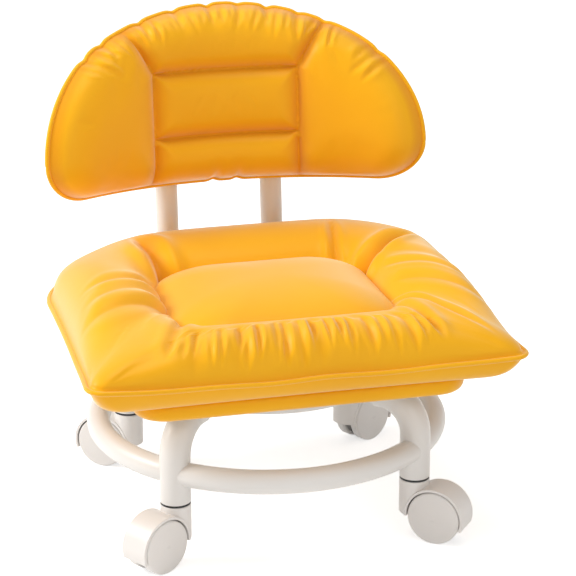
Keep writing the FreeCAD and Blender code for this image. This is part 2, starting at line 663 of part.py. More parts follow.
def straight_block(inset):
    near = BACK_CURVE_Y + FRONT_PAD_RHO / 2
    return Part.Face(back_outline(inset, near)).extrude(ALONG_Y * REAR_PAD_RHO)


def radial_block():
    spots = back_outline(0, 0).discretize(EDGE_SPOT_COUNT + 1)[:-1]
    near = radial_wire(spots, BACK_CURVE_Y + FRONT_PAD_RHO / 2)
    far = radial_wire(spots, BACK_CURVE_Y + BOARD_BACK_RHO)
    return Part.makeLoft([near, far], True, True)


def bowed_slab(block, rho_front, rho_back):
    low = V(0, BACK_CURVE_Y, BACK_BOTTOM_Z - BACK_RISE)
    tall = 4 * BACK_RISE
    bow = Part.makeCylinder(rho_back, tall, low).cut(Part.makeCylinder(rho_front, tall, low))
    return block.common(bow).Solids[0]


def rim_edges(slab, rho):
    found = []
    for edge in slab.Edges:
        spots = [edge.valueAt(edge.FirstParameter + t * (edge.LastParameter - edge.FirstParameter))
                 for t in (0.0, 0.3, 0.6, 1.0)]
        if all(abs(math.hypot(s.x, s.y - BACK_CURVE_Y) - rho) < 0.05 for s in spots):
            found.append(edge)
    return found


def on_pad(x, z, rho):
    return V(x, BACK_CURVE_Y + math.sqrt(rho ** 2 - x ** 2), z)


back_board = bowed_slab(straight_block(BACK_BOARD_INSET), BOARD_FRONT_RHO, BOARD_BACK_RHO)
rear_pad = bowed_slab(straight_block(0), BOARD_FRONT_RHO, REAR_PAD_RHO)
rear_pad = rear_pad.makeFillet(REAR_PAD_EDGE_R, rim_edges(rear_pad, REAR_PAD_RHO))
front_pad = bowed_slab(radial_block(), FRONT_PAD_RHO, BOARD_FRONT_RHO)
front_pad = front_pad.makeFillet(FRONT_PAD_EDGE_R, rim_edges(front_pad, FRONT_PAD_RHO))

# Sewn channels: two across the middle of the front pad and one down each side, flaring at the top
centre_low = V(0, BACK_CURVE_Y, 0)
strip = Part.makeBox(2 * CHANNEL_X, 2 * BACK_HALF, 4 * BACK_RISE, V(-CHANNEL_X, 0, BACK_BOTTOM_Z - BACK_RISE))
for up in (CHANNEL_LOW_UP, CHANNEL_HIGH_UP):
    channel = Part.makeTorus(FRONT_PAD_RHO, CHANNEL_R, centre_low + UP * (BACK_BOTTOM_Z + up))
    front_pad = front_pad.cut(channel.common(strip))
for side in (-1, 1):
    low = on_pad(side * CHANNEL_X, BACK_BOTTOM_Z - BACK_CORNER_R, FRONT_PAD_RHO)
    bend = on_pad(side * CHANNEL_X, BACK_BOTTOM_Z + CHANNEL_HIGH_UP, FRONT_PAD_RHO)
    high = on_pad(side * CHANNEL_FLARE_X, BACK_BOTTOM_Z + BACK_CORNER_R + BACK_RISE, FRONT_PAD_RHO)
    front_pad = front_pad.cut(rod(CHANNEL_R, low, bend))
    front_pad = front_pad.cut(Part.makeSphere(CHANNEL_R, bend))
    front_pad = front_pad.cut(rod(CHANNEL_R, bend, high))

# Piping round the edge where the two pads meet, its two ends butted at a lower corner
edge_spots = back_outline(-PIPING_OUT, 0).discretize(EDGE_SPOT_COUNT + 1)[:-1]
edge_line = Part.BSplineCurve()
edge_line.interpolate(Points=[on_pad(s.x, s.z, BOARD_FRONT_RHO) for s in edge_spots], PeriodicFlag=True)
cord = edge_line.toShape(edge_line.FirstParameter, edge_line.LastParameter - PIPING_GAP)
cord_start = cord.valueAt(cord.FirstParameter)
back_piping = swept([cord], cord_start, cord.tangentAt(cord.FirstParameter), PIPING_R, True)

for x in (-POST_X, POST_X):
    low = V(x, POST_FOOT_Y, BACK_BOTTOM_Z - BACK_CORNER_R)
    rear_pad = rear_pad.cut(rod(POST_OD / 2 + POST_ROOM, low, V(x, POST_FOOT_Y, POST_TOP_Z + POST_ROOM)))
rear_pad = rear_pad.cut(back_board)
for room in back_nut_rooms:
    back_board = back_board.cut(room)
save("backrest_board", leaned(back_board))
save("backrest_front_pad", leaned(front_pad))
save("backrest_rear_pad", leaned(rear_pad))
save("backrest_piping", leaned(back_piping))
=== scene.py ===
import math
import bpy
import numpy as np
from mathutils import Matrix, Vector


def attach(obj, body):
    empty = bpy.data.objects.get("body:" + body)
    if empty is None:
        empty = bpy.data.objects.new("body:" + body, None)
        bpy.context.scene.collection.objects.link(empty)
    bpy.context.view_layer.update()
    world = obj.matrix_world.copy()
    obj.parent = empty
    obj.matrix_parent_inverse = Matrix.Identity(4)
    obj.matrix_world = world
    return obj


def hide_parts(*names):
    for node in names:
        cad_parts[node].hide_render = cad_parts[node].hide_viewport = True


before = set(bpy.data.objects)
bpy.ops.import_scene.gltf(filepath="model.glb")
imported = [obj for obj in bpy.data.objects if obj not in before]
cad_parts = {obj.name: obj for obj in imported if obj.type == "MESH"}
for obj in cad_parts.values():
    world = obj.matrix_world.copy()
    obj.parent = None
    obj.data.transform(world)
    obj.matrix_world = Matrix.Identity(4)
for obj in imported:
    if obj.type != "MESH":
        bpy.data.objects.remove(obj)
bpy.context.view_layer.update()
scene = bpy.context.scene
scene.view_settings.view_transform = "Standard"

# Studio: a white paper floor, one large soft lamp to the upper left, and weaker ones overhead and in front.
# The camera stands where the photograph was taken from, in front of the stool and a little to its left.
FLOOR_REACH = 8.0
LENS_MM = 142.4
CAMERA_TURN = math.radians(-14.04)
CAMERA_RISE = math.radians(19.39)
CAMERA_AWAY = 2.122
STOOL_MIDDLE = Vector((0.0, -0.026, 0.2))
AIM_RIGHT = 0.00968
AIM_UP = 0.00569
LAMPS = (
    ("left_lamp", (-2.0, 0.40, 1.45), 0.9, 38.5, (1.0, 0.99, 0.97)),
    ("top_lamp", (-0.1, -0.3, 2.4), 1.2, 19.0, (1.0, 0.99, 0.98)),
    ("front_lamp", (0.5, -2.3, 1.0), 1.8, 9.5, (1.0, 0.97, 0.93)),
)
PAPER = (0.9, 0.9, 0.9, 1)
PAPER_LIFT = 0.56
ROOM_TINT = (1.0, 0.985, 0.965, 1)
ROOM_LIGHT = 0.43

back = Vector((math.sin(CAMERA_TURN) * math.cos(CAMERA_RISE),
               -math.cos(CAMERA_TURN) * math.cos(CAMERA_RISE), math.sin(CAMERA_RISE)))
right = Vector((math.cos(CAMERA_TURN), math.sin(CAMERA_TURN), 0.0))
aim = right * AIM_RIGHT + back.cross(right) * AIM_UP - back
camera = bpy.data.objects.new("camera", bpy.data.cameras.new("camera"))
camera.data.lens = LENS_MM
camera.location = STOOL_MIDDLE + back * CAMERA_AWAY
camera.rotation_euler = aim.to_track_quat("-Z", "Y").to_euler()
scene.collection.objects.link(camera)
scene.camera = camera

for name, place, size, watts, tint in LAMPS:
    lamp = bpy.data.objects.new(name, bpy.data.lights.new(name, "AREA"))
    lamp.data.size = size
    lamp.data.energy = watts
    lamp.data.color = tint
    lamp.location = place
    lamp.rotation_euler = (STOOL_MIDDLE - Vector(place)).to_track_quat("-Z", "Y").to_euler()
    scene.collection.objects.link(lamp)

corners = [(-FLOOR_REACH, -FLOOR_REACH, 0), (FLOOR_REACH, -FLOOR_REACH, 0),
           (FLOOR_REACH, FLOOR_REACH, 0), (-FLOOR_REACH, FLOOR_REACH, 0)]
paper_mesh = bpy.data.meshes.new("paper_floor")
paper_mesh.from_pydata(corners, [], [(0, 1, 2, 3)])
paper_floor = bpy.data.objects.new("paper_floor", paper_mesh)
scene.collection.objects.link(paper_floor)


def seen_directly(nodes, links):
    # One where the camera, a shiny surface or a clear one looks at the background, and none for its light
    path = nodes.new("ShaderNodeLightPath")
    glossy = nodes.new("ShaderNodeMath")
    glossy.operation = "MAXIMUM"
    links.new(path.outputs["Is Camera Ray"], glossy.inputs[0])
    links.new(path.outputs["Is Glossy Ray"], glossy.inputs[1])
    through = nodes.new("ShaderNodeMath")
    through.operation = "MAXIMUM"
    links.new(glossy.outputs[0], through.inputs[0])
    links.new(path.outputs["Is Transmission Ray"], through.inputs[1])
    return through.outputs[0]


paper = bpy.data.materials.new("white_paper")
paper.use_nodes = True
paper_shader = paper.node_tree.nodes["Principled BSDF"]
paper_shader.inputs["Base Color"].default_value = PAPER
paper_shader.inputs["Roughness"].default_value = 0.9
paper_shader.inputs["Emission Color"].default_value = (1, 1, 1, 1)
lift = paper.node_tree.nodes.new("ShaderNodeMath")
lift.operation = "MULTIPLY"
lift.inputs[1].default_value = PAPER_LIFT
paper.node_tree.links.new(seen_directly(paper.node_tree.nodes, paper.node_tree.links), lift.inputs[0])
paper.node_tree.links.new(lift.outputs[0], paper_shader.inputs["Emission Strength"])
paper_mesh.materials.append(paper)

world = bpy.data.worlds.new("studio")
scene.world = world
world.use_nodes = True
sky = world.node_tree.nodes
soft_light = sky["Background"]
soft_light.inputs["Color"].default_value = ROOM_TINT
soft_light.inputs["Strength"].default_value = ROOM_LIGHT
white = sky.new("ShaderNodeBackground")
white.inputs["Color"].default_value = (1, 1, 1, 1)
white.inputs["Strength"].default_value = 1.0
either = sky.new("ShaderNodeMixShader")
world.node_tree.links.new(seen_directly(sky, world.node_tree.links), either.inputs[0])
world.node_tree.links.new(soft_light.outputs[0], either.inputs[1])
world.node_tree.links.new(white.outputs[0], either.inputs[2])
world.node_tree.links.new(either.outputs[0], sky["World Output"].inputs["Surface"])

# Welded frame: four bent legs, the foot ring, the round dish under the seat and the two back posts.
# Steel tube and pressed sheet, powder coated cream after welding, so the coat runs over every joint.
PAINT_CREAM = (0.81, 0.795, 0.775, 1)
PAINT_WARM = (0.78, 0.76, 0.735, 1)
PAINTED = ["leg_front_left", "leg_front_right", "leg_rear_left", "leg_rear_right",
           "ring_arc_front", "ring_arc_right", "ring_arc_rear", "ring_arc_left",
           "mounting_dish", "back_post_left", "back_post_right"]


def new_group(name, sockets):
    group = bpy.data.node_groups.new(name, "ShaderNodeTree")
    for title, way, kind, value in sockets:
        socket = group.interface.new_socket(name=title, in_out=way, socket_type=kind)
        if value is not None:
            socket.default_value = value
    return group, group.nodes.new("NodeGroupInput"), group.nodes.new("NodeGroupOutput")


# Slow drift of tone and gloss over a surface, as any coat, moulding or hide has
tone_drift, drift_in, drift_out = new_group("tone_drift", (
    ("Colour", "INPUT", "NodeSocketColor", (0.8, 0.8, 0.8, 1)),
    ("Other Colour", "INPUT", "NodeSocketColor", (0.6, 0.6, 0.6, 1)),
    ("Scale", "INPUT", "NodeSocketFloat", 8.0),
    ("Low Gloss", "INPUT", "NodeSocketFloat", 0.5),
    ("High Gloss", "INPUT", "NodeSocketFloat", 0.4),
    ("Colour", "OUTPUT", "NodeSocketColor", None),
    ("Roughness", "OUTPUT", "NodeSocketFloat", None),
))
place = tone_drift.nodes.new("ShaderNodeTexCoord")
clouds = tone_drift.nodes.new("ShaderNodeTexNoise")
clouds.inputs["Detail"].default_value = 4.0
spread = tone_drift.nodes.new("ShaderNodeMapRange")
spread.inputs["From Min"].default_value = 0.32
spread.inputs["From Max"].default_value = 0.68
tint = tone_drift.nodes.new("ShaderNodeMix")
tint.data_type = "RGBA"
gloss = tone_drift.nodes.new("ShaderNodeMapRange")
wire = tone_drift.links
wire.new(place.outputs["Object"], clouds.inputs["Vector"])
wire.new(drift_in.outputs["Scale"], clouds.inputs["Scale"])
wire.new(clouds.outputs["Fac"], spread.inputs["Value"])
wire.new(spread.outputs["Result"], tint.inputs["Factor"])
wire.new(drift_in.outputs["Colour"], tint.inputs["A"])
wire.new(drift_in.outputs["Other Colour"], tint.inputs["B"])
wire.new(tint.outputs["Result"], drift_out.inputs["Colour"])
wire.new(spread.outputs["Result"], gloss.inputs["Value"])
wire.new(drift_in.outputs["Low Gloss"], gloss.inputs["To Min"])
wire.new(drift_in.outputs["High Gloss"], gloss.inputs["To Max"])
wire.new(gloss.outputs["Result"], drift_out.inputs["Roughness"])

# Fine relief: a cell pattern with finer noise over it, for grain, moulding texture and the ripple of a coat
fine_relief, relief_in, relief_out = new_group("fine_relief", (
    ("Cell Scale", "INPUT", "NodeSocketFloat", 800.0),
    ("Noise Scale", "INPUT", "NodeSocketFloat", 400.0),
    ("Noise Share", "INPUT", "NodeSocketFloat", 0.5),
    ("Height", "OUTPUT", "NodeSocketFloat", None),
))
place = fine_relief.nodes.new("ShaderNodeTexCoord")
cells = fine_relief.nodes.new("ShaderNodeTexVoronoi")
noise = fine_relief.nodes.new("ShaderNodeTexNoise")
noise.inputs["Detail"].default_value = 3.0
both = fine_relief.nodes.new("ShaderNodeMix")
wire = fine_relief.links
wire.new(place.outputs["Object"], cells.inputs["Vector"])
wire.new(place.outputs["Object"], noise.inputs["Vector"])
wire.new(relief_in.outputs["Cell Scale"], cells.inputs["Scale"])
wire.new(relief_in.outputs["Noise Scale"], noise.inputs["Scale"])
wire.new(relief_in.outputs["Noise Share"], both.inputs["Factor"])
wire.new(cells.outputs["Distance"], both.inputs["A"])
wire.new(noise.outputs["Fac"], both.inputs["B"])
wire.new(both.outputs["Result"], relief_out.inputs["Height"])


def new_finish(name, colour, other, drift, gloss_range, relief, bump_mm):
    finish = bpy.data.materials.new(name)
    finish.use_nodes = True
    nodes, links = finish.node_tree.nodes, finish.node_tree.links
    shader = nodes["Principled BSDF"]
    tone = nodes.new("ShaderNodeGroup")
    tone.node_tree = tone_drift
    tone.name = "tone"
    tone.inputs["Colour"].default_value = colour
    tone.inputs["Other Colour"].default_value = other
    tone.inputs["Scale"].default_value = drift
    tone.inputs["Low Gloss"].default_value, tone.inputs["High Gloss"].default_value = gloss_range
    skin = nodes.new("ShaderNodeGroup")
    skin.node_tree = fine_relief
    for title, value in zip(("Cell Scale", "Noise Scale", "Noise Share"), relief):
        skin.inputs[title].default_value = value
    bump = nodes.new("ShaderNodeBump")
    bump.inputs["Strength"].default_value = 1.0
    bump.inputs["Distance"].default_value = bump_mm / 1000
    links.new(tone.outputs["Colour"], shader.inputs["Base Color"])
    links.new(tone.outputs["Roughness"], shader.inputs["Roughness"])
    links.new(skin.outputs["Height"], bump.inputs["Height"])
    links.new(bump.outputs["Normal"], shader.inputs["Normal"])
    return finish


def dress(names, finish):
    for name in names:
        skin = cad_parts[name].data
        skin.materials.clear()
        skin.materials.append(finish)


powder_coat = new_finish("cream_powder_coat", PAINT_CREAM, PAINT_WARM, drift=7.0, gloss_range=(0.42, 0.33),
                         relief=(260, 420, 0.6), bump_mm=0.03)
dress(PAINTED, powder_coat)

# Stem sockets and rail plugs: black nylon pushed into the cut tube ends.
# The sockets show as a thin black line between each leg and its caster.
SOCKETS = ["stem_socket_front_left", "stem_socket_front_right",
           "stem_socket_rear_left", "stem_socket_rear_right"]
NYLON_BLACK = (0.012, 0.012, 0.012, 1)
NYLON_WORN = (0.02, 0.02, 0.02, 1)
black_nylon = new_finish("black_nylon", NYLON_BLACK, NYLON_WORN, drift=30.0, gloss_range=(0.6, 0.5),
                         relief=(900, 1500, 0.5), bump_mm=0.02)
dress(SOCKETS + ["rail_plugs"], black_nylon)

# Casters: hoods and wheels moulded in cream plastic, a shade paler than the painted tube.
# Each hood is pressed on a steel stem, and its two wheels turn on a steel axle through the web.
MOULDED_CREAM = (0.86, 0.835, 0.815, 1)
MOULDED_SHADE = (0.83, 0.80, 0.775, 1)
ZINC = (0.62, 0.62, 0.6, 1)
ZINC_DULL = (0.5, 0.5, 0.5, 1)
CORNERS = ("front_left", "front_right", "rear_left", "rear_right")
MOULDED_PIECES = ("hood", "wheel_left", "wheel_right")
STEEL_PIECES = ("stem", "grip_ring", "axle")
moulded_cream = new_finish("moulded_cream", MOULDED_CREAM, MOULDED_SHADE, drift=11.0,
                           gloss_range=(0.42, 0.36), relief=(1400, 900, 0.7), bump_mm=0.015)
bright_zinc = new_finish("bright_zinc", ZINC, ZINC_DULL, drift=60.0, gloss_range=(0.4, 0.28),
                         relief=(700, 1800, 0.8), bump_mm=0.01)
bright_zinc.node_tree.nodes["Principled BSDF"].inputs["Metallic"].default_value = 1.0
for corner in CORNERS:
    dress(["caster_" + corner + "_" + piece for piece in MOULDED_PIECES], moulded_cream)
    dress(["caster_" + corner + "_" + piece for piece in STEEL_PIECES], bright_zinc)

# Screws and tee nuts: bright zinc steel, through the dish flange, the rails and the posts.
# Most of them sit inside a tube or under the leather.
dress(["dish_screws", "dish_tee_nuts", "rail_screws", "rail_tee_nuts", "back_screws", "back_tee_nuts"],
      bright_zinc)

# Boards: birch plywood, flat under the seat and bent to a curve in the backrest.
# The grain runs across the stool, and only the middle of the seat board shows, from below.
BIRCH_PALE = (0.72, 0.55, 0.35, 1)
BIRCH_DARK = (0.62, 0.44, 0.26, 1)
GRAIN_SHARE = 0.45
birch = new_finish("birch_plywood", BIRCH_PALE, BIRCH_DARK, drift=30.0, gloss_range=(0.62, 0.5),
                   relief=(300, 240, 0.5), bump_mm=0.05)
grain_place = birch.node_tree.nodes.new("ShaderNodeTexCoord")
grain_stretch = birch.node_tree.nodes.new("ShaderNodeMapping")
grain_stretch.inputs["Scale"].default_value = (6, 90, 90)
grain_noise = birch.node_tree.nodes.new("ShaderNodeTexNoise")
grain_noise.inputs["Scale"].default_value = 1.0
grain_noise.inputs["Detail"].default_value = 5.0
grain_mix = birch.node_tree.nodes.new("ShaderNodeMix")
grain_mix.data_type = "RGBA"
grain_mix.blend_type = "MULTIPLY"
grain_mix.inputs["Factor"].default_value = GRAIN_SHARE
birch_wire = birch.node_tree.links
birch_wire.new(grain_place.outputs["Object"], grain_stretch.inputs["Vector"])
birch_wire.new(grain_stretch.outputs["Vector"], grain_noise.inputs["Vector"])
birch_wire.new(birch.node_tree.nodes["tone"].outputs["Colour"], grain_mix.inputs["A"])
birch_wire.new(grain_noise.outputs["Fac"], grain_mix.inputs["B"])
birch_wire.new(grain_mix.outputs["Result"], birch.node_tree.nodes["Principled BSDF"].inputs["Base Color"])
dress(["seat_board", "backrest_board"], birch)

# Seat base wrap: amber coated leather pulled over the edge of the seat board and folded under it.
# It is stapled below, close inside the edge, and its upper side runs in under the cushion.
AMBER = (0.925, 0.46, 0.005, 1)
AMBER_DEEP = (0.90, 0.428, 0.0035, 1)
# The last amber is painted shade, laid into creases, seams and along sewn edges
AMBER_CREASE_SHADE = (0.77, 0.285, 0.001, 1)
WRAP_HALF, WRAP_FRONT, WRAP_BACK, WRAP_CORNER = 0.152, -0.1795, 0.134, 0.030
WRAP_LEAST_CORNER = 0.004
WRAP_PROFILE = ((0.017, 0.1500), (0.010, 0.1499), (0.0055, 0.1503), (0.0020, 0.1522), (0.0003, 0.1558),
                (0.0, 0.1605), (0.0010, 0.1650), (0.0040, 0.1670), (0.012, 0.1671), (0.030, 0.1671),
                (0.048, 0.1671))

amber_leather = new_finish("amber_leather", AMBER, AMBER_DEEP, drift=9.0, gloss_range=(0.42, 0.36),
                           relief=(1100, 500, 0.4), bump_mm=0.05)
leather_nodes, leather_wire = amber_leather.node_tree.nodes, amber_leather.node_tree.links
leather_shader = leather_nodes["Principled BSDF"]
leather_shader.inputs["Specular IOR Level"].default_value = 0.14
leather_shader.inputs["Sheen Weight"].default_value = 0.75
leather_shader.inputs["Sheen Roughness"].default_value = 0.45
leather_shader.inputs["Sheen Tint"].default_value = (1.0, 0.93, 0.72, 1)
# Painted shade: the bottom of a tuck or seam is coloured a deeper, redder amber than the open leather, for
# the shade that falls there
crease_shade_input = leather_nodes.new("ShaderNodeAttribute")
crease_shade_input.attribute_name = "crease_shade"
shaded_in_creases = leather_nodes.new("ShaderNodeMix")
shaded_in_creases.data_type = "RGBA"
shaded_in_creases.inputs["B"].default_value = AMBER_CREASE_SHADE
leather_wire.new(crease_shade_input.outputs["Fac"], shaded_in_creases.inputs["Factor"])
leather_wire.new(leather_nodes["tone"].outputs["Colour"], shaded_in_creases.inputs["A"])
leather_wire.new(shaded_in_creases.outputs["Result"], leather_shader.inputs["Base Color"])

# Points along the front, right, rear and left sides of a loop, and round the corner after each
SIDE_STEPS = (230, 84, 60, 84)
CORNER_STEPS = (14, 34, 34, 14)


def rounded_loop(half, front, rear, r_front, r_rear, draw_in):
    # Points round a cushion, from its front edge to the right, with the sides drawn in between the corners
    spots = []
    radii = (r_front, r_rear, r_rear, r_front)
    starts = ((-half + r_front, front), (half, front + r_front),
              (half - r_rear, rear), (-half, rear - r_rear))
    ends = ((half - r_front, front), (half, rear - r_rear),
            (-half + r_rear, rear), (-half, front + r_front))
    middles = ((half - r_front, front + r_front), (half - r_rear, rear - r_rear),
               (-half + r_rear, rear - r_rear), (-half + r_front, front + r_front))
    for side in range(4):
        for t in np.arange(SIDE_STEPS[side]) / SIDE_STEPS[side]:
            spots.append((starts[side][0] + t * (ends[side][0] - starts[side][0]),
                          starts[side][1] + t * (ends[side][1] - starts[side][1])))
        for t in np.arange(CORNER_STEPS[side]) / CORNER_STEPS[side]:
            turn = math.radians(90 * (side - 1 + t))
            spots.append((middles[side][0] + radii[side] * math.cos(turn),
                          middles[side][1] + radii[side] * math.sin(turn)))
    loop = np.array(spots)
    across = loop[:, 0] / half
    along = (loop[:, 1] - (front + rear) / 2) / ((rear - front) / 2)
    loop[:, 0] -= draw_in * across * abs(across) * (1 - along ** 2).clip(0)
    loop[:, 1] -= draw_in * along * abs(along) * (1 - across ** 2).clip(0)
    return loop


def ring_faces(count, around, closed_below=False):
    # Faces between rings of points, with a ladder of faces across the lowest ring where that is closed
    faces = []
    for r in range(count - 1):
        low, high = r * around, (r + 1) * around
        for i in range(around):
            after = (i + 1) % around
            faces.append((low + i, low + after, high + after, high + i))
    if closed_below:
        faces += [(i + 1, i, around - 1 - i, around - 2 - i) for i in range(around // 2 - 1)]
    return faces


def leather_piece(name, points, faces, crease_shade=None):
    mesh = bpy.data.meshes.new(name)
    mesh.from_pydata(points.reshape(-1, 3).tolist(), [], faces)
    mesh.polygons.foreach_set("use_smooth", [True] * len(mesh.polygons))
    # A point mask of painted shade: where it is high, the leather is coloured darker for the shade in
    # creases and seams
    depth = mesh.attributes.new("crease_shade", "FLOAT", "POINT")
    if crease_shade is not None:
        depth.data.foreach_set("value", np.ascontiguousarray(crease_shade, dtype=np.float32).ravel())
    mesh.materials.append(amber_leather)
    piece = bpy.data.objects.new(name, mesh)
    scene.collection.objects.link(piece)
    piece.modifiers.new("soft", "SUBSURF").levels = 1
    piece.modifiers["soft"].render_levels = 1
    return piece


wrap_rows = []
for inset, z in WRAP_PROFILE:
    corner = max(WRAP_CORNER - inset, WRAP_LEAST_CORNER)
    loop = rounded_loop(WRAP_HALF - inset, WRAP_FRONT + inset, WRAP_BACK - inset, corner, corner, 0.0)
    wrap_rows.append(np.column_stack([loop, np.full(len(loop), z)]))
wrap_rows = np.array(wrap_rows)
base_wrap = leather_piece("base_wrap", wrap_rows, ring_faces(*wrap_rows.shape[:2]))
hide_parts("seat_base_wrap")
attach(base_wrap, "base")

# Seat cushion: soft coated leather over fibre, a gathered roll sewn round a crowned middle panel.
# Below the piped edge a narrow side band closes it, and its flat underside is glued to the base.
WIDTH_FIT, FRONT_WIDER = 0.9984, 0.05
# Each edge: half width, front, rear, front and rear corner radius, and how far the sides are drawn in
SEAT_EDGE = (0.194, -0.198, 0.1375, 0.012, 0.100, 0.004)
PANEL_EDGE = (0.103, -0.136, 0.034, 0.042, 0.042, 0.0012)
SEAT_HALF, SEAT_FRONT = SEAT_EDGE[0], SEAT_EDGE[1]
ROLL_W = SEAT_EDGE[0] - PANEL_EDGE[0]
SEAM_Z, VALLEY_Z, PANEL_Z, UNDERSIDE_Z = 0.190, 0.216, 0.237, 0.1671
# The section from the edge in: share of the way to the middle panel, and height
UNDERSIDE = ((0.95, UNDERSIDE_Z), (0.6, UNDERSIDE_Z), (0.35, UNDERSIDE_Z), (0.27, UNDERSIDE_Z))
SIDE_BAND = ((0.235, 0.1672), (0.185, 0.1678), (0.13, 0.1700), (0.085, 0.1735), (0.05, 0.1780),
             (0.02, 0.1830), (0.004, 0.1872), (-0.020, 0.1896))
ROLL = ((-0.020, 0.1904), (0.002, 0.1930), (0.030, 0.2055), (0.10, 0.2205), (0.24, 0.2325), (0.44, 0.2375),
        (0.66, 0.2355), (0.82, 0.2300), (0.93, 0.2215), (0.99, 0.2130), (1.02, 0.2060))
ROLL_ROWS = 40
FRONT_SEAM_UP = 0.008
FRONT_LOWER = 0.26
SEAM_EAR_LIFT, SEAM_LEFT_MORE, SEAM_HANG = 0.0048, 0.0016, 0.0034
SEAM_WAVE, SEAM_WAVE_RATE, SEAM_WAVE_START = 0.0009, 57, 0.6
EAR_REACH, EAR_FLAT, EAR_INNER = 0.06, 0.36, 0.75
HEEL_X, HEEL_Y, HEEL_REACH, HEEL_LEFT, HEEL_RIGHT = 0.165, 0.108, 0.065, 0.85, 0.25


def smooth_line(knots, count):
    # A smooth line through the knots, in even steps
    knots = np.array(knots, float)
    reach = np.concatenate([[0], np.cumsum(np.linalg.norm(np.diff(knots, axis=0), axis=1))])
    slope = np.gradient(knots, reach, axis=0)
    at = np.linspace(0, reach[-1], count)
    i = np.clip(np.searchsorted(reach, at) - 1, 0, len(reach) - 2)
    gap = (reach[i + 1] - reach[i])[:, None]
    t = ((at - reach[i])[:, None]) / gap
    return ((2 * t ** 3 - 3 * t ** 2 + 1) * knots[i] + (t ** 3 - 2 * t ** 2 + t) * gap * slope[i]
            + (-2 * t ** 3 + 3 * t ** 2) * knots[i + 1] + (t ** 3 - t ** 2) * gap * slope[i + 1])


def widen_front(loop):
    # The cushion is a little wider at its front than at its back
    return loop * np.column_stack([WIDTH_FIT - FRONT_WIDER * loop[:, 1], np.ones(len(loop))])


def seat_loop(share):
    # A loop part of the way from the piped edge, at no share, to the middle panel, at a full one
    return widen_front(rounded_loop(*[a + share * (b - a) for a, b in zip(SEAT_EDGE, PANEL_EDGE)]))


def soft_step(low, high, x):
    # Climbs softly from none at low to one at high
    t = ((x - low) / (high - low)).clip(0, 1)
    return t * t * (3 - 2 * t)


def seam_lift(plan):
    # The piped edge hangs a little in the middle of the front and lifts towards its two corners
    front = soft_step(SEAT_FRONT + 0.09, SEAT_FRONT + 0.004, plan[:, 1])
    across = abs(plan[:, 0]) / SEAT_HALF
    wave = SEAM_WAVE * np.sin(plan[:, 0] * SEAM_WAVE_RATE + SEAM_WAVE_START) * (1 - across)
    at_ears = SEAM_EAR_LIFT - SEAM_LEFT_MORE * np.sign(plan[:, 0])
    return front * (at_ears * across ** 3 - SEAM_HANG + wave)


roll_line = smooth_line([(s * ROLL_W, z) for s, z in ROLL], ROLL_ROWS)
roll_line[:, 0] /= ROLL_W
seat_line = list(UNDERSIDE) + list(SIDE_BAND) + [tuple(p) for p in roll_line]
first_roll = len(UNDERSIDE) + len(SIDE_BAND)
edge_plan = seat_loop(0.0)
edge_lift = seam_lift(edge_plan)
# The roll flattens towards the two front ears and the two rounded heels, and lies lower along the front
edge_x, edge_y = edge_plan[:, 0], edge_plan[:, 1]
ear_away = np.min([np.hypot(edge_x - s * SEAT_HALF, edge_y - SEAT_FRONT) for s in (-1, 1)], axis=0)
heel = [np.exp(-((edge_x - s * HEEL_X) ** 2 + (edge_y - HEEL_Y) ** 2) / HEEL_REACH ** 2) for s in (-1, 1)]
flatter = np.exp(-(ear_away / EAR_REACH) ** 2) + HEEL_LEFT * heel[0] + HEEL_RIGHT * heel[1]
front_side = soft_step(SEAT_FRONT + 0.05, SEAT_FRONT + 0.01, edge_y)
front_low = FRONT_LOWER * soft_step(SEAT_FRONT + 0.13, SEAT_FRONT + 0.02, edge_y)
seat_rows = []
roll_rise = []
for row, (share, z) in enumerate(seat_line):
    rise = max(row - first_roll, 0) / (ROLL_ROWS - 1)
    below_seam = min(max((z - UNDERSIDE_Z) / (SEAM_Z - UNDERSIDE_Z), 0), 1)
    held_up = below_seam if row < first_roll else (1 - rise) ** 2
    lower = EAR_FLAT * flatter * max(1 - share / EAR_INNER, 0) + front_low
    height = z + edge_lift * held_up - max(z - SEAM_Z, 0) * lower
    height = height + FRONT_SEAM_UP * front_side * soft_step(0.5, 0.98, np.array(share))
    seat_rows.append(np.column_stack([seat_loop(share), height]))
    roll_rise.append(np.full(len(edge_plan), rise))
seat_rows = np.array(seat_rows)
roll_rise = np.array(roll_rise)
on_roll = (np.arange(len(seat_line)) >= first_roll)[:, None] * np.ones(roll_rise.shape)

# The filling: steps of the simulation and its push, and for the seat's cover the most slack and travel.
# The cover gives most along the front gathers, less elsewhere, and hardly at all at the two front ears.
FILL_FRAMES = 20
FILL_PUSH = 4.0
SEAT_SLACK, SEAT_TRAVEL = 0.05, 0.009
LEAST_GIVE, EAR_TAUT, EAR_TAUT_REACH = 0.35, 0.85, 0.07


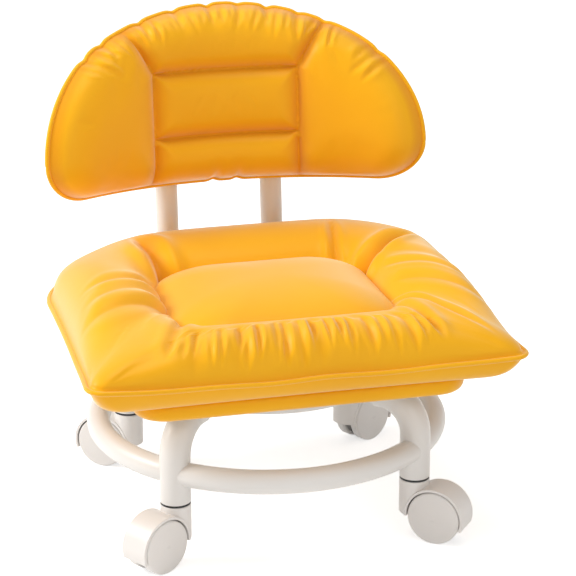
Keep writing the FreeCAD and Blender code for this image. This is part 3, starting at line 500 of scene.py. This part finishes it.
def fill_out(points, faces, held, slack, most_slack, push, cap):
    # A cover filled out as cloth: held points stay sewn down, slack leather gathers, the filling pushes out
    mesh = bpy.data.meshes.new("filling")
    mesh.from_pydata(points.tolist(), [], faces)
    cover = bpy.data.objects.new("filling", mesh)
    scene.collection.objects.link(cover)
    for title, weights in (("held", held), ("slack", slack)):
        group = cover.vertex_groups.new(name=title)
        for i in np.flatnonzero(weights > 0):
            group.add([int(i)], float(weights[i]), "REPLACE")
    cloth = cover.modifiers.new("filling", "CLOTH")
    leather = cloth.settings
    leather.quality = 5
    leather.mass = 0.05
    leather.tension_stiffness = 25
    leather.compression_stiffness = 25
    leather.shear_stiffness = 8
    leather.bending_stiffness = 0.6
    leather.air_damping = 3
    leather.use_pressure = True
    leather.uniform_pressure_force = push
    leather.effector_weights.gravity = 0
    leather.vertex_group_mass = "held"
    leather.vertex_group_shrink = "slack"
    leather.shrink_min = 0.0
    leather.shrink_max = -most_slack
    cloth.point_cache.frame_start = 1
    cloth.point_cache.frame_end = FILL_FRAMES
    for step in range(1, FILL_FRAMES + 1):
        scene.frame_set(step)
    filled = cover.evaluated_get(bpy.context.evaluated_depsgraph_get()).data
    spots = np.empty(len(points) * 3)
    filled.vertices.foreach_get("co", spots)
    moved = spots.reshape(-1, 3) - points
    bpy.data.objects.remove(cover)
    scene.frame_set(1)
    far = np.linalg.norm(moved, axis=1, keepdims=True).clip(1e-9)
    return points + moved * (cap * np.tanh(far / cap) / far)


seat_faces = ring_faces(*seat_rows.shape[:2], closed_below=True)
loose = seat_rows[:, ::2]
rise = roll_rise[:, ::2]
sewn = np.ones(rise.shape)
sewn[first_roll + 2:-2] = 0.0
at_front = soft_step(-0.06, -0.16, loose[:, :, 1]) * soft_step(0.25, 0.6, rise)
give = on_roll[:, ::2] * (LEAST_GIVE + (1 - LEAST_GIVE) * at_front)
give = give * (1 - EAR_TAUT * np.exp(-(ear_away[::2] / EAR_TAUT_REACH) ** 2))
filled = fill_out(loose.reshape(-1, 3), ring_faces(*loose.shape[:2], closed_below=True),
                  sewn.ravel(), give.ravel(), SEAT_SLACK, FILL_PUSH, SEAT_TRAVEL)
moved = filled.reshape(loose.shape) - loose
seat_rows[:, ::2] += moved
seat_rows[:, 1::2] += (moved + np.roll(moved, -1, axis=1)) / 2


def skin_normals(rows):
    # Outward directions over a cover made of rings of points
    around = np.roll(rows, -1, axis=1) - np.roll(rows, 1, axis=1)
    up = np.gradient(rows, axis=0)
    out = np.cross(around, up)
    return out / np.linalg.norm(out, axis=2, keepdims=True).clip(1e-9)


VALLEY_SHARP, RIDGE_SHARE, RIDGE_OUT, RIDGE_W = 1.4, 0.5, 2.3, 1.2


def beside_line(plan, start, way):
    # How far points in plan lie along a line, and how far to its side
    off = plan - start
    return off @ way, abs(off[..., 0] * way[1] - off[..., 1] * way[0])


def tuck_section(aside, width):
    # The section across a tuck: a narrow valley with a soft ridge on both sides
    valley = np.exp(-(aside / width) ** VALLEY_SHARP)
    ridge = RIDGE_SHARE * np.exp(-((aside - RIDGE_OUT * width) / (RIDGE_W * width)) ** 2)
    return valley - ridge


def press_tucks(plan, rise, tucks):
    # Depth of sewn tucks. Each has its seam end and its far end in plan, the rise where it starts and stops,
    # its half width and its depth.
    depth = np.zeros(rise.shape)
    for (ax, ay), (bx, by), low, high, width, deep in tucks:
        way = np.array([bx - ax, by - ay])
        length = np.hypot(*way)
        way = way / length
        along, aside = beside_line(plan, np.array([ax, ay]), way)
        near = soft_step(-0.02, 0.0, along) * (1 - soft_step(length + 0.01, length + 0.04, along))
        fade = soft_step(low - 0.12, low + 0.16, rise) * (1 - soft_step(high, high + 0.08, rise))
        narrow = width * (0.45 + 0.55 * fade)
        depth += deep * near * fade * tuck_section(aside, narrow)
    return depth


# Fine gathers along the front of the middle panel, broader waves among them, and a few at the two sides
GATHER_Y, GATHERS, FULL_SHADE_DEPTH = -0.132, 20, 0.008
hand = np.random.default_rng(7)
seat_tucks = []
for x in np.linspace(-0.098, 0.104, GATHERS):
    x = x + hand.uniform(-0.0035, 0.0035)
    seat_tucks.append(((x, GATHER_Y), (x * 1.16 - 0.004, SEAT_FRONT), hand.uniform(0.12, 0.38), 0.57,
                       hand.uniform(0.0017, 0.0030), hand.uniform(0.0020, 0.0042)))
for x in (-0.085, -0.052, -0.015, 0.010, 0.046, 0.080):
    seat_tucks.append(((x, GATHER_Y), (x * 1.2 - 0.004, SEAT_FRONT), hand.uniform(0.1, 0.25), 0.62,
                       hand.uniform(0.005, 0.008), hand.uniform(0.0010, 0.0020)))
for y in (-0.070, -0.042, -0.014):
    seat_tucks.append(((-0.100, y + hand.uniform(-0.003, 0.003)), (-0.186, y - 0.034),
                       hand.uniform(0.25, 0.45), 0.95,
                       hand.uniform(0.004, 0.007), hand.uniform(0.0014, 0.0026)))
for y in (0.000, -0.030, -0.066):
    seat_tucks.append(((0.112, y), (0.190, y - 0.055), hand.uniform(0.1, 0.25), 0.75,
                       hand.uniform(0.004, 0.007), hand.uniform(0.0012, 0.0022)))
# Deep single tucks at the corners of the panel, where the roll turns
seat_tucks += [((-0.082, 0.010), (-0.104, 0.110), 0.50, 1.0, 0.0070, 0.0085),
               ((0.098, -0.004), (0.165, 0.040), 0.45, 1.0, 0.0062, 0.0085),
               ((0.083, 0.030), (0.100, 0.125), 0.52, 1.0, 0.0034, 0.0044),
               ((0.100, -0.128), (0.122, -0.19), 0.35, 0.94, 0.0036, 0.0050),
               ((0.112, -0.110), (0.160, -0.17), 0.4, 0.94, 0.0036, 0.0034),
               ((-0.101, -0.126), (-0.128, -0.19), 0.4, 0.94, 0.0040, 0.0044)]
seat_tuck = press_tucks(seat_rows[:, :, :2], roll_rise, seat_tucks) * on_roll
seat_rows = seat_rows - skin_normals(seat_rows) * seat_tuck[..., None]
# The depth of each tuck also sets the painted shade at its bottom, full from a set depth down
seat_cushion = leather_piece("seat_cushion_cover", seat_rows, seat_faces, (seat_tuck / FULL_SHADE_DEPTH).clip(0, 1))
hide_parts("seat_cushion")
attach(seat_cushion, "base")

# Middle panel: the crowned leather top of the seat, sewn into the roll all round.
# It lies over foam of its own, so it stands fuller and smoother than the roll.
PANEL_STEPS = (64, 52)
PANEL_UNDER, PANEL_SUNK, PANEL_FRONT_UP = 1.02, 0.008, 0.003
CROWN_FLAT, CROWN_ROUND = 2.6, 0.72


def square_grid(outline, steps):
    # A grid that fills an outline: square rings scaled from the middle out to it
    nx, ny = steps
    turns = np.arctan2(outline[:, 1], outline[:, 0])
    order = np.argsort(turns)
    away = np.hypot(*outline.T)
    a, b = np.meshgrid(np.linspace(-1, 1, nx + 1), np.linspace(-1, 1, ny + 1), indexing="ij")
    level = np.maximum(abs(a), abs(b))
    size = np.abs(outline).max(axis=0)
    turn = np.arctan2(b * size[1], a * size[0])
    out = np.interp(turn, turns[order], away[order], period=2 * math.pi)
    return np.stack([out * level * np.cos(turn), out * level * np.sin(turn)], axis=-1), level


def grid_faces(nx, ny):
    return [(i * ny + j, (i + 1) * ny + j, (i + 1) * ny + j + 1, i * ny + j + 1)
            for i in range(nx - 1) for j in range(ny - 1)]


panel_outline = seat_loop(1.0)
panel_centre = np.array([0.0, (PANEL_EDGE[1] + PANEL_EDGE[2]) / 2])
panel_plan, panel_level = square_grid(panel_outline - panel_centre, PANEL_STEPS)
panel_plan = panel_plan * PANEL_UNDER + panel_centre
panel_edge = VALLEY_Z - PANEL_SUNK + PANEL_FRONT_UP * soft_step(-0.09, -0.134, panel_plan[..., 1])
panel_rise = panel_edge + (PANEL_Z - panel_edge) * (1 - panel_level ** CROWN_FLAT).clip(0) ** CROWN_ROUND
panel_points = np.concatenate([panel_plan, panel_rise[..., None]], axis=-1)
seat_panel = leather_piece("seat_panel", panel_points, grid_faces(*panel_points.shape[:2]))
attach(seat_panel, "base")

# Seat piping: a leather-covered cord sewn into the seam between the roll and the side band.
# It follows the drawn-in sides and stands a little proud of them.
PIPING_R = 0.0023
PIPING_OUT = 0.0025
PIPING_SIDES = 10


def piped_cord(name, line, radius):
    # A closed tube along a ring of points
    ahead = np.roll(line, -1, axis=0) - np.roll(line, 1, axis=0)
    ahead /= np.linalg.norm(ahead, axis=1, keepdims=True)
    side = np.cross(ahead, np.array([0, 0, 1.0]))
    side /= np.linalg.norm(side, axis=1, keepdims=True).clip(1e-9)
    over = np.cross(side, ahead)
    rows = []
    for k in range(PIPING_SIDES + 1):
        turn = 2 * math.pi * k / PIPING_SIDES
        rows.append(line + radius * (math.cos(turn) * side + math.sin(turn) * over))
    rows = np.array(rows)
    return leather_piece(name, rows, ring_faces(*rows.shape[:2]))


piping_edge = (SEAT_EDGE[0] + PIPING_OUT, SEAT_EDGE[1] - PIPING_OUT, SEAT_EDGE[2] + PIPING_OUT,
               SEAT_EDGE[3] + PIPING_OUT, SEAT_EDGE[4] + PIPING_OUT, SEAT_EDGE[5])
piping_plan = widen_front(rounded_loop(*piping_edge))
piping_line = np.column_stack([piping_plan, SEAM_Z + seam_lift(piping_plan)])
seat_cord = piped_cord("seat_piping_cord", piping_line, PIPING_R)
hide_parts("seat_piping")
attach(seat_cord, "base")

# Backrest front pad: leather over foam on the bent board, drawn down along four sewn channels.
# The two upright seams flare out near the top edge, and the edge is gathered to its piping.
BACK_HALF, BACK_LOW, BACK_CORNER, BACK_RISE, BACK_SIDE = 0.1825, 0.2702, 0.0375, 0.1310, 0.1165
BOW_Y, FRONT_RHO, SEAM_RHO, REAR_RHO = -0.119, 0.23063, 0.25863, 0.29863
LEAN, LEAN_Y, LEAN_Z = math.radians(5.0), 0.1575, 0.139
BACK_STEPS, EDGE_POINTS = (150, 84), 420
FRONT_EDGE_R, REAR_EDGE_R = 0.027, 0.036
CHANNEL_X, CHANNEL_LOW, CHANNEL_HIGH, FLARE_X, FLARE_Z = 0.0768, 0.316, 0.380, 0.110, 0.437
CHANNEL_DEEP, CHANNEL_W, STITCH_W, STITCH_SHARE, CHANNEL_FOOT = 0.0125, 0.0085, 0.0022, 0.35, 0.24
GATHER_FIRST, GATHER_LAST, GATHER_STEP = 0.17, 0.88, 0.072
PINCH_W, LOW_PINCH, LOW_PINCH_W, LOW_FOLD = 0.0045, 0.0022, 0.004, 0.012
BACK_MIDDLE_UP = 0.078
EDGE_SEAM = 0.0008
FOLD_BACK, FOLD_DOWN = 0.0028, 0.0008
BACK_SLACK, BACK_TRAVEL, BACK_LEAST_GIVE = 0.06, 0.007, 0.4


def back_outline(count):
    # The flat outline of the backrest in even steps: straight below, round corners, tall sides, a low arch
    wide_z = BACK_LOW + BACK_CORNER
    low_x = BACK_HALF - BACK_CORNER
    side_x = BACK_HALF - BACK_SIDE
    top_r = (side_x ** 2 + BACK_RISE ** 2 - BACK_SIDE ** 2) / (2 * (BACK_RISE - BACK_SIDE))
    top_z = wide_z + BACK_RISE - top_r
    meet = math.atan2(wide_z - top_z, side_x)
    spots = [(x, BACK_LOW) for x in np.linspace(-low_x, low_x, 60)[:-1]]
    for mx, mz, r, first, last, n in ((low_x, wide_z, BACK_CORNER, -math.pi / 2, 0, 24),
                                      (side_x, wide_z, BACK_SIDE, 0, meet, 24),
                                      (0, top_z, top_r, meet, math.pi - meet, 60),
                                      (-side_x, wide_z, BACK_SIDE, math.pi - meet, math.pi, 24),
                                      (-low_x, wide_z, BACK_CORNER, math.pi, 1.5 * math.pi, 24)):
        for turn in np.linspace(first, last, n)[:-1]:
            spots.append((mx + r * math.cos(turn), mz + r * math.sin(turn)))
    line = np.array(spots)
    closed = np.vstack([line, line[:1]])
    reach = np.concatenate([[0], np.cumsum(np.linalg.norm(np.diff(closed, axis=0), axis=1))])
    at = np.linspace(0, reach[-1], count, endpoint=False)
    return np.column_stack([np.interp(at, reach, closed[:, 0]), np.interp(at, reach, closed[:, 1])])


def bowed(flat, rho, radial):
    # Lays points of the flat backrest on its curve, then leans them back about the foot of the posts
    x, z = flat[..., 0], flat[..., 1]
    x = x * rho / SEAM_RHO if radial else x
    y = BOW_Y + np.sqrt(rho ** 2 - x ** 2) - LEAN_Y
    up = z - LEAN_Z
    return np.stack([x, LEAN_Y + y * math.cos(LEAN) + up * math.sin(LEAN),
                     LEAN_Z + up * math.cos(LEAN) - y * math.sin(LEAN)], axis=-1)


def from_line(points, line, closed=True):
    # Least distance from each point to a line of straight pieces
    ends = np.roll(line, -1, axis=0) if closed else line[1:]
    starts = line if closed else line[:-1]
    best = np.full(points.shape[:-1], 9.0)
    for a, b in zip(starts, ends):
        way = b - a
        t = (((points - a) @ way) / (way @ way)).clip(0, 1)
        best = np.minimum(best, np.linalg.norm(points - a - t[..., None] * way, axis=-1))
    return best


# The sewn edge, pinched in a little at each gather along its top and shoulders
back_edge = back_outline(EDGE_POINTS)
edge_way = np.roll(back_edge, -1, axis=0) - np.roll(back_edge, 1, axis=0)
edge_way /= np.linalg.norm(edge_way, axis=1, keepdims=True)
edge_out = np.column_stack([edge_way[:, 1], -edge_way[:, 0]])
pinch_hand = np.random.default_rng(11)
pinch = np.zeros(len(back_edge))
folds = []
for share in np.arange(GATHER_FIRST, GATHER_LAST, GATHER_STEP):
    # Gathers stand at uneven steps from the left end of the arch, over the top, to its right end
    turn = math.pi * (1 - share + pinch_hand.uniform(-0.02, 0.02))
    at = np.argmin(abs(np.arctan2(back_edge[:, 1] - BACK_LOW - BACK_CORNER, back_edge[:, 0]) - turn))
    away = np.linalg.norm(back_edge - back_edge[at], axis=1)
    pinch = np.maximum(pinch, pinch_hand.uniform(0.0014, 0.0030) * np.exp(-(away / PINCH_W) ** 2))
    for beside in (-0.010, 0.0, 0.009):
        aim = -edge_out[at] + pinch_hand.uniform(-0.35, 0.35) * edge_way[at]
        folds.append((back_edge[at] + beside * edge_way[at], aim / np.hypot(*aim),
                      pinch_hand.uniform(0.012, 0.034)))
for x in (-0.010, 0.014):
    away = np.linalg.norm(back_edge - np.array([x, BACK_LOW]), axis=1)
    pinch = np.maximum(pinch, LOW_PINCH * np.exp(-(away / LOW_PINCH_W) ** 2))
    folds.append((np.array([x, BACK_LOW]), np.array([0.0, 1.0]), LOW_FOLD))
cord_edge = back_edge + (PIPING_OUT - pinch)[:, None] * edge_out
back_centre = np.array([0.0, BACK_LOW + BACK_MIDDLE_UP])
back_flat, back_level = square_grid(cord_edge - back_centre, BACK_STEPS)
back_flat = back_flat + back_centre
edge_in = from_line(back_flat, cord_edge)
edge_in[back_level > 0.9999] = 0.0
swell = np.sqrt(1 - (1 - ((edge_in - EDGE_SEAM) / FRONT_EDGE_R).clip(0, 1)) ** 2)
seams = [np.array([(-CHANNEL_X, CHANNEL_FOOT), (-CHANNEL_X, CHANNEL_HIGH), (-FLARE_X, FLARE_Z)]),
         np.array([(CHANNEL_X, CHANNEL_FOOT), (CHANNEL_X, CHANNEL_HIGH), (FLARE_X, FLARE_Z)]),
         np.array([(-CHANNEL_X, CHANNEL_LOW), (CHANNEL_X, CHANNEL_LOW)]),
         np.array([(-CHANNEL_X, CHANNEL_HIGH), (CHANNEL_X, CHANNEL_HIGH)])]
seam_away = np.min([from_line(back_flat, seam, closed=False) for seam in seams], axis=0)
channel = (STITCH_SHARE * np.exp(-(seam_away / STITCH_W))
           + (1 - STITCH_SHARE) * np.exp(-(seam_away / CHANNEL_W) ** 1.6))
front_rho = SEAM_RHO - (SEAM_RHO - FRONT_RHO) * swell + CHANNEL_DEEP * channel * swell
front_points = bowed(back_flat, front_rho, True)
front_faces = grid_faces(*front_points.shape[:2])
sewn = np.maximum(edge_in < 0.002, seam_away < STITCH_W).astype(float)
near_seam = 1 - soft_step(0.006, 0.03, np.minimum(edge_in, seam_away))
give = BACK_LEAST_GIVE + (1 - BACK_LEAST_GIVE) * near_seam
filled = fill_out(front_points.reshape(-1, 3), front_faces, sewn.ravel(), give.ravel(),
                  BACK_SLACK, FILL_PUSH, BACK_TRAVEL)
front_points = filled.reshape(front_points.shape)
# Short folds run in from each gather, drawn back and a little down
edge_folds = np.zeros(edge_in.shape)
fold_hand = np.random.default_rng(5)
for start, way, length in folds:
    along, aside = beside_line(back_flat, start, way)
    fade = soft_step(-0.006, 0.001, along) * (1 - soft_step(0.25 * length, length, along))
    wide = fold_hand.uniform(0.0017, 0.0030) * (0.5 + 0.5 * fade)
    edge_folds += fold_hand.uniform(0.4, 1.0) * fade * tuck_section(aside, wide)
inward = np.array([0.0, FOLD_BACK, -FOLD_DOWN])
front_points = front_points + inward * edge_folds[..., None] * soft_step(0.0, 0.006, edge_in)[..., None]
# Painted shade along the sewn edge, in the stitched channels and in the folds: the leather is coloured
# darker there
edge_shade = 1 - soft_step(0.001, 0.005, edge_in)
crease_shade_mask = (channel * 0.8 + edge_folds.clip(0) * 0.4 + 0.8 * edge_shade).clip(0, 1)
front_pad = leather_piece("backrest_front_cover", front_points, front_faces, crease_shade_mask)
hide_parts("backrest_front_pad")
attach(front_pad, "base")

# Backrest rear pad: a plain leather cover over thin foam, behind the board and round the two posts.
# It is sewn to the front pad along the piped edge.
REAR_FULLER = 0.010
rear_swell = np.sqrt(1 - (1 - ((edge_in - EDGE_SEAM) / REAR_EDGE_R).clip(0, 1)) ** 2)
rear_rho = SEAM_RHO + (REAR_RHO - SEAM_RHO) * rear_swell
at_ends = soft_step(0.10, 0.17, abs(back_flat[..., 0]))
fuller = 1 + REAR_FULLER * np.sin(math.pi * rear_swell.clip(0, 1)) * at_ends
rear_flat = np.stack([back_flat[..., 0] * fuller, back_flat[..., 1]], axis=-1)
rear_points = bowed(rear_flat, rear_rho, False)[::-1]
rear_pad = leather_piece("backrest_rear_cover", rear_points, grid_faces(*rear_points.shape[:2]))
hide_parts("backrest_rear_pad")
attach(rear_pad, "base")

# Backrest piping: the same covered cord, sewn in all round where the two pads meet.
# It is drawn in a little at each gather of the top edge.
back_cord = piped_cord("backrest_piping_cord", bowed(cord_edge, SEAM_RHO, True), PIPING_R)
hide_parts("backrest_piping")
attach(back_cord, "base")
